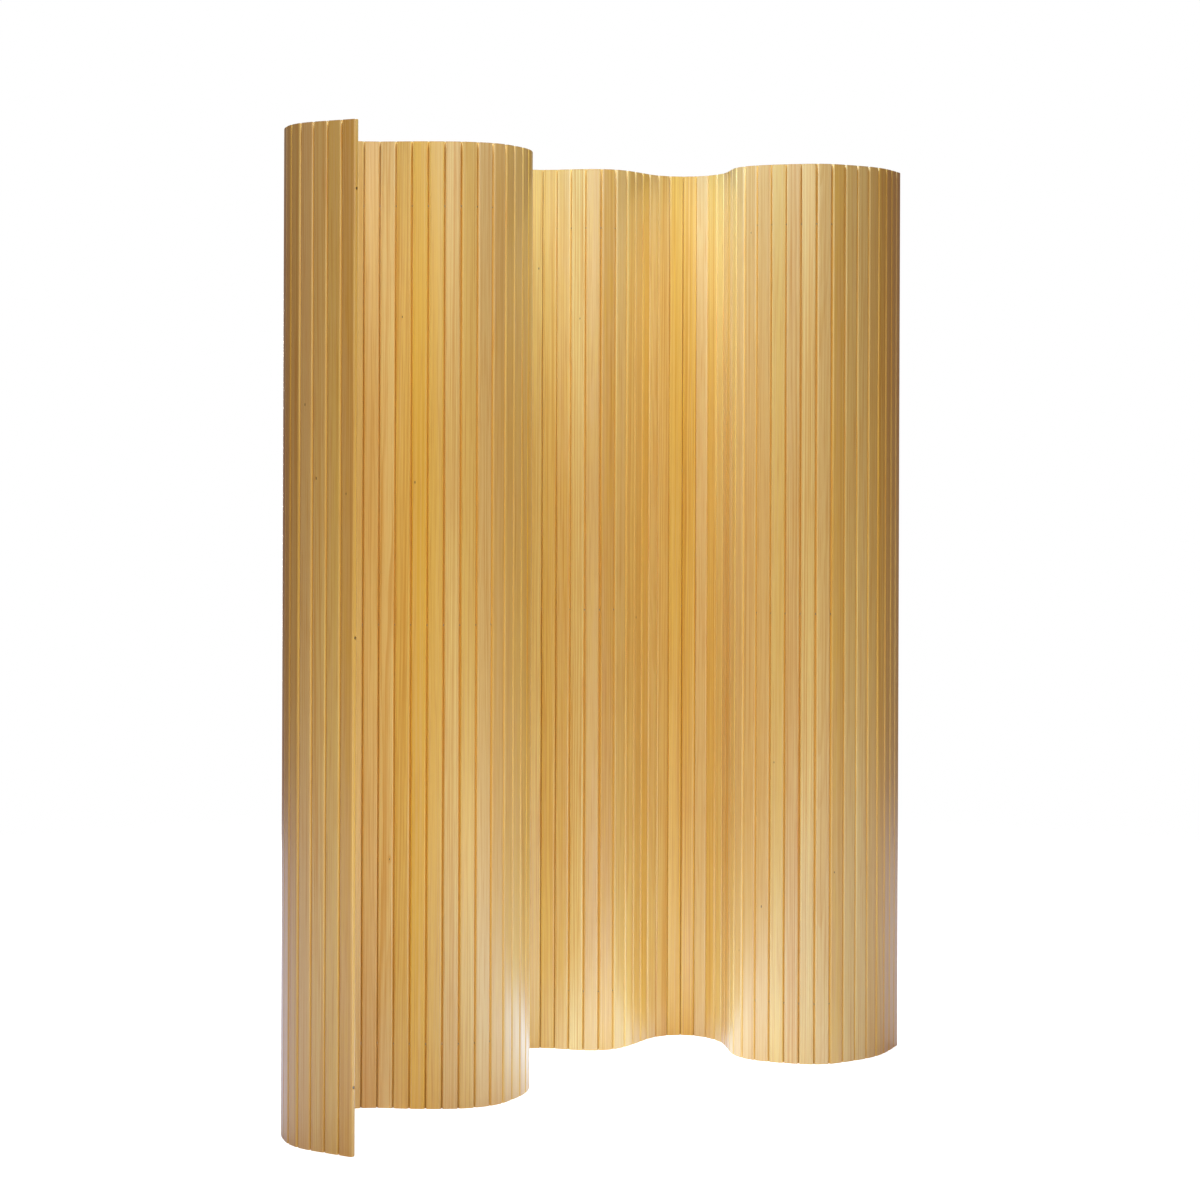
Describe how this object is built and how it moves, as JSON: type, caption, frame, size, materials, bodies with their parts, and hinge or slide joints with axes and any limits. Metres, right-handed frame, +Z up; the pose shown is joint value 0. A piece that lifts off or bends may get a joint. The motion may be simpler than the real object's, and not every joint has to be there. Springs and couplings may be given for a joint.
{
  "type": "flexible slat screen",
  "caption": "Free-standing room divider of upright wooden slats threaded on steel wires, so that it folds either way at every gap.",
  "frame": {"origin": "on the floor, in the middle of the space that the standing curve takes up", "axes": "+Z up along the slats, +X to the viewer's right, +Y away from the viewer"},
  "size_m": [0.9892, 0.8566, 1.5],
  "materials": {
    "pine": "clear satin varnish over pale to honey-coloured pine",
    "steel_wire": "plain drawn wire",
    "steel_sleeve": "crimped, dull"
  },
  "bodies": {
    "slats_01_02": {"slats_01_02": "pine", "end_sleeves_near": "steel_sleeve"},
    "slats_03_04": {"slats_03_04": "pine"},
    "slat_05": {"slat_05": "pine"},
    "slats_06_07": {"slats_06_07": "pine"},
    "slats_08_09": {"slats_08_09": "pine"},
    "slats_10_11": {"slats_10_11": "pine"},
    "slat_12": {"slat_12": "pine"},
    "slat_13": {"slat_13": "pine"},
    "slat_14": {"slat_14": "pine"},
    "slat_15": {"slat_15": "pine"},
    "slats_16_17": {"slats_16_17": "pine"},
    "slats_18_19": {"slats_18_19": "pine"},
    "slats_20_21": {"slats_20_21": "pine"},
    "slats_22_23": {"slats_22_23": "pine"},
    "slat_24": {"slat_24": "pine"},
    "slat_25": {"slat_25": "pine"},
    "slats_26_27": {"slats_26_27": "pine"},
    "slats_28_29": {"slats_28_29": "pine"},
    "slats_30_31": {"slats_30_31": "pine"},
    "slats_32_33": {"slats_32_33": "pine"},
    "slats_34_35": {"slats_34_35": "pine"},
    "slats_36_37": {"slats_36_37": "pine"},
    "slat_38": {"slat_38": "pine"},
    "slat_39": {"slat_39": "pine"},
    "slat_40": {"slat_40": "pine", "wire_bottom": "steel_wire", "wire_middle": "steel_wire", "wire_top": "steel_wire"},
    "slat_41": {"slat_41": "pine"},
    "slat_42": {"slat_42": "pine"},
    "slat_43": {"slat_43": "pine"},
    "slat_44": {"slat_44": "pine"},
    "slats_45_46": {"slats_45_46": "pine"},
    "slat_47": {"slat_47": "pine"},
    "slat_48": {"slat_48": "pine"},
    "slat_49": {"slat_49": "pine"},
    "slat_50": {"slat_50": "pine"},
    "slats_51_52": {"slats_51_52": "pine"},
    "slats_53_54": {"slats_53_54": "pine"},
    "slat_55": {"slat_55": "pine"},
    "slat_56": {"slat_56": "pine"},
    "slat_57": {"slat_57": "pine"},
    "slat_58": {"slat_58": "pine"},
    "slat_59": {"slat_59": "pine"},
    "slat_60": {"slat_60": "pine"},
    "slats_61_62": {"slats_61_62": "pine"},
    "slats_63_64": {"slats_63_64": "pine"},
    "slat_65": {"slat_65": "pine"},
    "slat_66": {"slat_66": "pine"},
    "slats_67_68": {"slats_67_68": "pine"},
    "slats_69_70": {"slats_69_70": "pine"},
    "slat_71": {"slat_71": "pine"},
    "slats_72_73": {"slats_72_73": "pine"},
    "slats_74_75": {"slats_74_75": "pine"},
    "slats_76_77": {"slats_76_77": "pine"},
    "slats_78_79": {"slats_78_79": "pine", "end_sleeves_far": "steel_sleeve"}
  },
  "joints": [
    {"name": "fold_02_03", "type": "hinge", "parent": "slats_03_04", "child": "slats_01_02", "pos_m": [-0.41511, -0.40003, 0.75], "axis": [0, 0, -1], "range_deg": [-30, 30], "deforming": ["wire_bottom", "wire_middle", "wire_top"]},
    {"name": "fold_04_05", "type": "hinge", "parent": "slat_05", "child": "slats_03_04", "pos_m": [-0.45645, -0.37108, 0.75], "axis": [0, 0, 1], "range_deg": [-45, 15], "deforming": ["wire_bottom", "wire_middle", "wire_top"]},
    {"name": "fold_05_06", "type": "hinge", "parent": "slats_06_07", "child": "slat_05", "pos_m": [-0.47133, -0.35062, 0.75], "axis": [0, 0, -1], "range_deg": [-15, 45], "deforming": ["wire_bottom", "wire_middle", "wire_top"]},
    {"name": "fold_07_08", "type": "hinge", "parent": "slats_08_09", "child": "slats_06_07", "pos_m": [-0.48651, -0.30245, 0.75], "axis": [0, 0, 1], "range_deg": [-37, 23], "deforming": ["wire_bottom", "wire_middle", "wire_top"]},
    {"name": "fold_09_10", "type": "hinge", "parent": "slats_10_11", "child": "slats_08_09", "pos_m": [-0.4896, -0.25204, 0.75], "axis": [0, 0, -1], "range_deg": [-23, 37], "deforming": ["wire_bottom", "wire_middle", "wire_top"]},
    {"name": "fold_11_12", "type": "hinge", "parent": "slat_12", "child": "slats_10_11", "pos_m": [-0.48039, -0.20237, 0.75], "axis": [0, 0, 1], "range_deg": [-42, 18], "deforming": ["wire_bottom", "wire_middle", "wire_top"]},
    {"name": "fold_12_13", "type": "hinge", "parent": "slat_13", "child": "slat_12", "pos_m": [-0.4693, -0.17964, 0.75], "axis": [0, 0, -1], "range_deg": [-18, 42], "deforming": ["wire_bottom", "wire_middle", "wire_top"]},
    {"name": "fold_13_14", "type": "hinge", "parent": "slat_14", "child": "slat_13", "pos_m": [-0.45373, -0.1597, 0.75], "axis": [0, 0, 1], "range_deg": [-42, 18], "deforming": ["wire_bottom", "wire_middle", "wire_top"]},
    {"name": "fold_14_15", "type": "hinge", "parent": "slat_15", "child": "slat_14", "pos_m": [-0.43434, -0.14344, 0.75], "axis": [0, 0, -1], "range_deg": [-18, 42], "deforming": ["wire_bottom", "wire_middle", "wire_top"]},
    {"name": "fold_15_16", "type": "hinge", "parent": "slats_16_17", "child": "slat_15", "pos_m": [-0.41201, -0.13156, 0.75], "axis": [0, 0, 1], "range_deg": [-42, 18], "deforming": ["wire_bottom", "wire_middle", "wire_top"]},
    {"name": "fold_17_18", "type": "hinge", "parent": "slats_18_19", "child": "slats_16_17", "pos_m": [-0.36248, -0.12238, 0.75], "axis": [0, 0, -1], "range_deg": [-19, 41], "deforming": ["wire_bottom", "wire_middle", "wire_top"]},
    {"name": "fold_19_20", "type": "hinge", "parent": "slats_20_21", "child": "slats_18_19", "pos_m": [-0.31221, -0.12811, 0.75], "axis": [0, 0, 1], "range_deg": [-26, 34], "deforming": ["wire_bottom", "wire_middle", "wire_top"]},
    {"name": "fold_21_22", "type": "hinge", "parent": "slats_22_23", "child": "slats_20_21", "pos_m": [-0.26165, -0.12899, 0.75], "axis": [0, 0, -1], "range_deg": [-34, 26], "deforming": ["wire_bottom", "wire_middle", "wire_top"]},
    {"name": "fold_23_24", "type": "hinge", "parent": "slat_24", "child": "slats_22_23", "pos_m": [-0.21213, -0.11981, 0.75], "axis": [0, 0, 1], "range_deg": [-19, 41], "deforming": ["wire_bottom", "wire_middle", "wire_top"]},
    {"name": "fold_24_25", "type": "hinge", "parent": "slat_25", "child": "slat_24", "pos_m": [-0.18958, -0.10833, 0.75], "axis": [0, 0, -1], "range_deg": [-47, 13], "deforming": ["wire_bottom", "wire_middle", "wire_top"]},
    {"name": "fold_25_26", "type": "hinge", "parent": "slats_26_27", "child": "slat_25", "pos_m": [-0.17138, -0.09075, 0.75], "axis": [0, 0, 1], "range_deg": [-13, 47], "deforming": ["wire_bottom", "wire_middle", "wire_top"]},
    {"name": "fold_27_28", "type": "hinge", "parent": "slats_28_29", "child": "slats_26_27", "pos_m": [-0.14724, -0.04628, 0.75], "axis": [0, 0, -1], "range_deg": [-39, 21], "deforming": ["wire_bottom", "wire_middle", "wire_top"]},
    {"name": "fold_29_30", "type": "hinge", "parent": "slats_30_31", "child": "slats_28_29", "pos_m": [-0.13461, 0.00255, 0.75], "axis": [0, 0, 1], "range_deg": [-21, 39], "deforming": ["wire_bottom", "wire_middle", "wire_top"]},
    {"name": "fold_31_32", "type": "hinge", "parent": "slats_32_33", "child": "slats_30_31", "pos_m": [-0.13769, 0.0529, 0.75], "axis": [0, 0, -1], "range_deg": [-39, 21], "deforming": ["wire_bottom", "wire_middle", "wire_top"]},
    {"name": "fold_33_34", "type": "hinge", "parent": "slats_34_35", "child": "slats_32_33", "pos_m": [-0.15618, 0.09984, 0.75], "axis": [0, 0, 1], "range_deg": [-27, 33], "deforming": ["wire_bottom", "wire_middle", "wire_top"]},
    {"name": "fold_35_36", "type": "hinge", "parent": "slats_36_37", "child": "slats_34_35", "pos_m": [-0.18185, 0.14342, 0.75], "axis": [0, 0, -1], "range_deg": [-26, 34], "deforming": ["wire_bottom", "wire_middle", "wire_top"]},
    {"name": "fold_37_38", "type": "hinge", "parent": "slat_38", "child": "slats_36_37", "pos_m": [-0.20402, 0.18887, 0.75], "axis": [0, 0, 1], "range_deg": [-43, 17], "deforming": ["wire_bottom", "wire_middle", "wire_top"]},
    {"name": "fold_38_39", "type": "hinge", "parent": "slat_39", "child": "slat_38", "pos_m": [-0.20885, 0.21371, 0.75], "axis": [0, 0, -1], "range_deg": [-17, 43], "deforming": ["wire_bottom", "wire_middle", "wire_top"]},
    {"name": "fold_39_40", "type": "hinge", "parent": "slat_40", "child": "slat_39", "pos_m": [-0.20796, 0.23899, 0.75], "axis": [0, 0, 1], "range_deg": [-46, 14], "deforming": ["wire_bottom", "wire_middle", "wire_top"]},
    {"name": "fold_40_41", "type": "hinge", "parent": "slat_40", "child": "slat_41", "pos_m": [-0.20014, 0.26305, 0.75], "axis": [0, 0, 1], "range_deg": [-14, 46], "deforming": ["wire_bottom", "wire_middle", "wire_top"]},
    {"name": "fold_41_42", "type": "hinge", "parent": "slat_41", "child": "slat_42", "pos_m": [-0.186, 0.28403, 0.75], "axis": [0, 0, -1], "range_deg": [-46, 14], "deforming": ["wire_bottom", "wire_middle", "wire_top"]},
    {"name": "fold_42_43", "type": "hinge", "parent": "slat_42", "child": "slat_43", "pos_m": [-0.16662, 0.30029, 0.75], "axis": [0, 0, 1], "range_deg": [-14, 46], "deforming": ["wire_bottom", "wire_middle", "wire_top"]},
    {"name": "fold_43_44", "type": "hinge", "parent": "slat_43", "child": "slat_44", "pos_m": [-0.1435, 0.31058, 0.75], "axis": [0, 0, -1], "range_deg": [-46, 14], "deforming": ["wire_bottom", "wire_middle", "wire_top"]},
    {"name": "fold_44_45", "type": "hinge", "parent": "slat_44", "child": "slats_45_46", "pos_m": [-0.11845, 0.3141, 0.75], "axis": [0, 0, 1], "range_deg": [-14, 46], "deforming": ["wire_bottom", "wire_middle", "wire_top"]},
    {"name": "fold_46_47", "type": "hinge", "parent": "slats_45_46", "child": "slat_47", "pos_m": [-0.06947, 0.30234, 0.75], "axis": [0, 0, -1], "range_deg": [-25, 35], "deforming": ["wire_bottom", "wire_middle", "wire_top"]},
    {"name": "fold_47_48", "type": "hinge", "parent": "slat_47", "child": "slat_48", "pos_m": [-0.04492, 0.29622, 0.75], "axis": [0, 0, 1], "range_deg": [-43, 17], "deforming": ["wire_bottom", "wire_middle", "wire_top"]},
    {"name": "fold_48_49", "type": "hinge", "parent": "slat_48", "child": "slat_49", "pos_m": [-0.01963, 0.29578, 0.75], "axis": [0, 0, -1], "range_deg": [-8, 52], "deforming": ["wire_bottom", "wire_middle", "wire_top"]},
    {"name": "fold_49_50", "type": "hinge", "parent": "slat_49", "child": "slat_50", "pos_m": [0.00399, 0.30485, 0.75], "axis": [0, 0, 1], "range_deg": [-52, 8], "deforming": ["wire_bottom", "wire_middle", "wire_top"]},
    {"name": "fold_50_51", "type": "hinge", "parent": "slat_50", "child": "slats_51_52", "pos_m": [0.02249, 0.3221, 0.75], "axis": [0, 0, -1], "range_deg": [-16, 44], "deforming": ["wire_bottom", "wire_middle", "wire_top"]},
    {"name": "fold_52_53", "type": "hinge", "parent": "slats_51_52", "child": "slats_53_54", "pos_m": [0.0493, 0.36501, 0.75], "axis": [0, 0, 1], "range_deg": [-32, 28], "deforming": ["wire_bottom", "wire_middle", "wire_top"]},
    {"name": "fold_54_55", "type": "hinge", "parent": "slats_53_54", "child": "slat_55", "pos_m": [0.07783, 0.40652, 0.75], "axis": [0, 0, -1], "range_deg": [-48, 12], "deforming": ["wire_bottom", "wire_middle", "wire_top"]},
    {"name": "fold_55_56", "type": "hinge", "parent": "slat_55", "child": "slat_56", "pos_m": [0.09929, 0.41992, 0.75], "axis": [0, 0, 1], "range_deg": [-8, 52], "deforming": ["wire_bottom", "wire_middle", "wire_top"]},
    {"name": "fold_56_57", "type": "hinge", "parent": "slat_56", "child": "slat_57", "pos_m": [0.1242, 0.42432, 0.75], "axis": [0, 0, -1], "range_deg": [-52, 8], "deforming": ["wire_bottom", "wire_middle", "wire_top"]},
    {"name": "fold_57_58", "type": "hinge", "parent": "slat_57", "child": "slat_58", "pos_m": [0.14895, 0.41906, 0.75], "axis": [0, 0, 1], "range_deg": [-8, 52], "deforming": ["wire_bottom", "wire_middle", "wire_top"]},
    {"name": "fold_58_59", "type": "hinge", "parent": "slat_58", "child": "slat_59", "pos_m": [0.16992, 0.40491, 0.75], "axis": [0, 0, -1], "range_deg": [-47, 13], "deforming": ["wire_bottom", "wire_middle", "wire_top"]},
    {"name": "fold_59_60", "type": "hinge", "parent": "slat_59", "child": "slat_60", "pos_m": [0.18585, 0.38525, 0.75], "axis": [0, 0, 1], "range_deg": [-17, 43], "deforming": ["wire_bottom", "wire_middle", "wire_top"]},
    {"name": "fold_60_61", "type": "hinge", "parent": "slat_60", "child": "slats_61_62", "pos_m": [0.19694, 0.36251, 0.75], "axis": [0, 0, -1], "range_deg": [-43, 17], "deforming": ["wire_bottom", "wire_middle", "wire_top"]},
    {"name": "fold_62_63", "type": "hinge", "parent": "slats_61_62", "child": "slats_63_64", "pos_m": [0.20571, 0.31274, 0.75], "axis": [0, 0, 1], "range_deg": [-29, 31], "deforming": ["wire_bottom", "wire_middle", "wire_top"]},
    {"name": "fold_64_65", "type": "hinge", "parent": "slats_63_64", "child": "slat_65", "pos_m": [0.21362, 0.26284, 0.75], "axis": [0, 0, -1], "range_deg": [-14, 46], "deforming": ["wire_bottom", "wire_middle", "wire_top"]},
    {"name": "fold_65_66", "type": "hinge", "parent": "slat_65", "child": "slat_66", "pos_m": [0.22549, 0.2405, 0.75], "axis": [0, 0, 1], "range_deg": [-51, 9], "deforming": ["wire_bottom", "wire_middle", "wire_top"]},
    {"name": "fold_66_67", "type": "hinge", "parent": "slat_66", "child": "slats_67_68", "pos_m": [0.24459, 0.2239, 0.75], "axis": [0, 0, -1], "range_deg": [-16, 44], "deforming": ["wire_bottom", "wire_middle", "wire_top"]},
    {"name": "fold_68_69", "type": "hinge", "parent": "slats_67_68", "child": "slats_69_70", "pos_m": [0.29075, 0.20335, 0.75], "axis": [0, 0, 1], "range_deg": [-36, 24], "deforming": ["wire_bottom", "wire_middle", "wire_top"]},
    {"name": "fold_70_71", "type": "hinge", "parent": "slats_69_70", "child": "slat_71", "pos_m": [0.34018, 0.19284, 0.75], "axis": [0, 0, -1], "range_deg": [-11, 49], "deforming": ["wire_bottom", "wire_middle", "wire_top"]},
    {"name": "fold_71_72", "type": "hinge", "parent": "slat_71", "child": "slats_72_73", "pos_m": [0.36509, 0.19723, 0.75], "axis": [0, 0, 1], "range_deg": [-49, 11], "deforming": ["wire_bottom", "wire_middle", "wire_top"]},
    {"name": "fold_73_74", "type": "hinge", "parent": "slats_72_73", "child": "slats_74_75", "pos_m": [0.40844, 0.22328, 0.75], "axis": [0, 0, -1], "range_deg": [-26, 34], "deforming": ["wire_bottom", "wire_middle", "wire_top"]},
    {"name": "fold_75_76", "type": "hinge", "parent": "slats_74_75", "child": "slats_76_77", "pos_m": [0.44622, 0.2567, 0.75], "axis": [0, 0, 1], "range_deg": [-39, 21], "deforming": ["wire_bottom", "wire_middle", "wire_top"]},
    {"name": "fold_77_78", "type": "hinge", "parent": "slats_76_77", "child": "slats_78_79", "pos_m": [0.47182, 0.30017, 0.75], "axis": [0, 0, -1], "range_deg": [-28, 32], "deforming": ["wire_bottom", "wire_middle", "wire_top"]}
  ]
}
